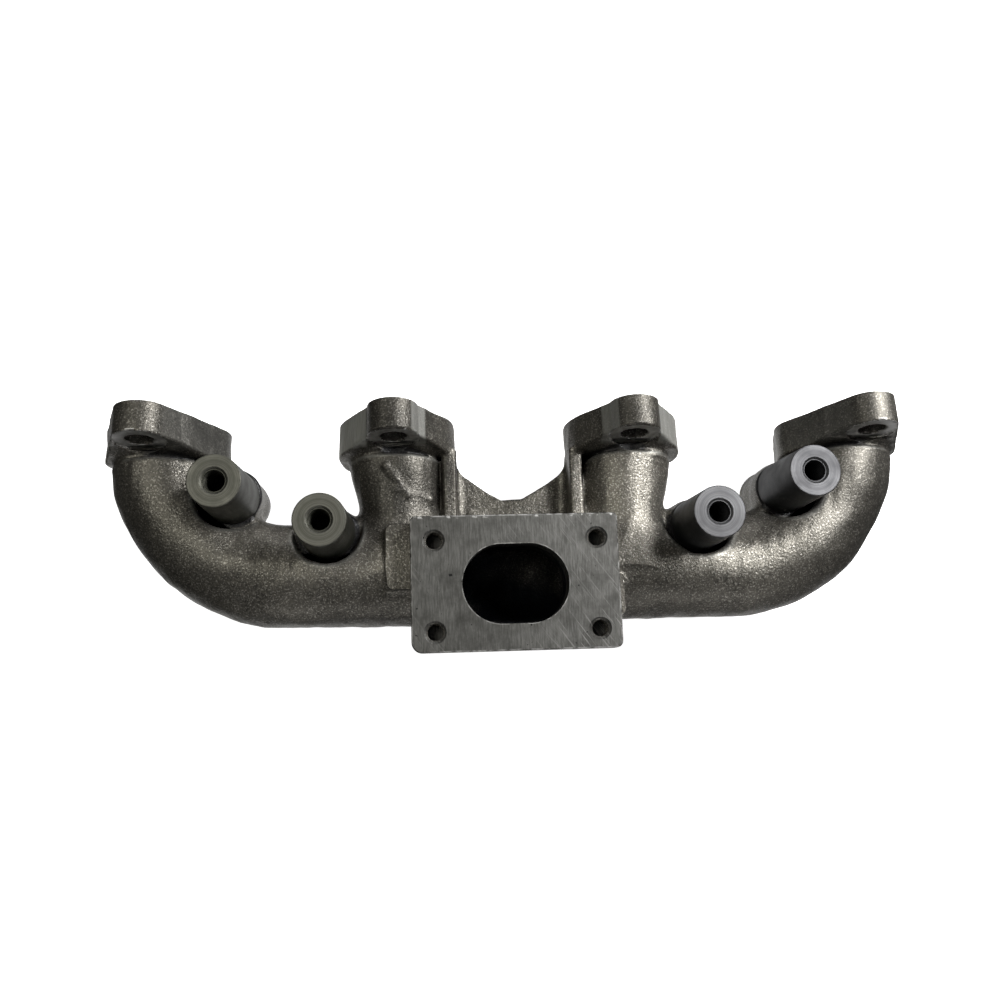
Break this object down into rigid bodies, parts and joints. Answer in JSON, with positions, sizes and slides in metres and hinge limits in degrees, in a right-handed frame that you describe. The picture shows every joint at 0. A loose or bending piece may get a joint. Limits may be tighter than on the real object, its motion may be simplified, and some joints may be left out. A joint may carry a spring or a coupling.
{
  "type": "exhaust manifold",
  "caption": "Cast-iron log-style exhaust manifold with a turbocharger flange on top, bolted head flanges along one side and tapped support posts.",
  "frame": {"origin": "centre of the underside of the part's bounding box, lying with the turbocharger flange up", "axes": "+X along the row of cylinders, +Y towards the cylinder head, +Z out of the turbocharger flange face"},
  "size_m": [0.377, 0.112, 0.0942],
  "materials": {
    "cast_body": "sand-cast, oxidised dark grey-brown, fine sparkling grain",
    "machined_face": "milled and turned faces, satin grey with tool marks"
  },
  "bodies": {
    "root": {"turbo_flange": "machined_face", "turbo_neck": "cast_body", "turbo_pad_left": "cast_body", "turbo_pad_right": "cast_body", "collector": "cast_body", "junction_left": "cast_body", "junction_right": "cast_body", "log_left": "cast_body", "log_right": "cast_body", "outer_bend_left": "cast_body", "outer_bend_right": "cast_body", "outer_runner_left": "cast_body", "outer_runner_right": "cast_body", "inner_runner_left": "cast_body", "inner_runner_right": "cast_body", "head_flange_1": "cast_body", "head_flange_2": "cast_body", "head_flange_3": "cast_body", "head_flange_4": "cast_body", "outer_post_left": "machined_face", "outer_post_right": "machined_face", "inner_post_left": "machined_face", "inner_post_right": "machined_face", "rib_left": "cast_body", "rib_right": "cast_body", "saddle_web": "cast_body"}
  },
  "joints": []
}
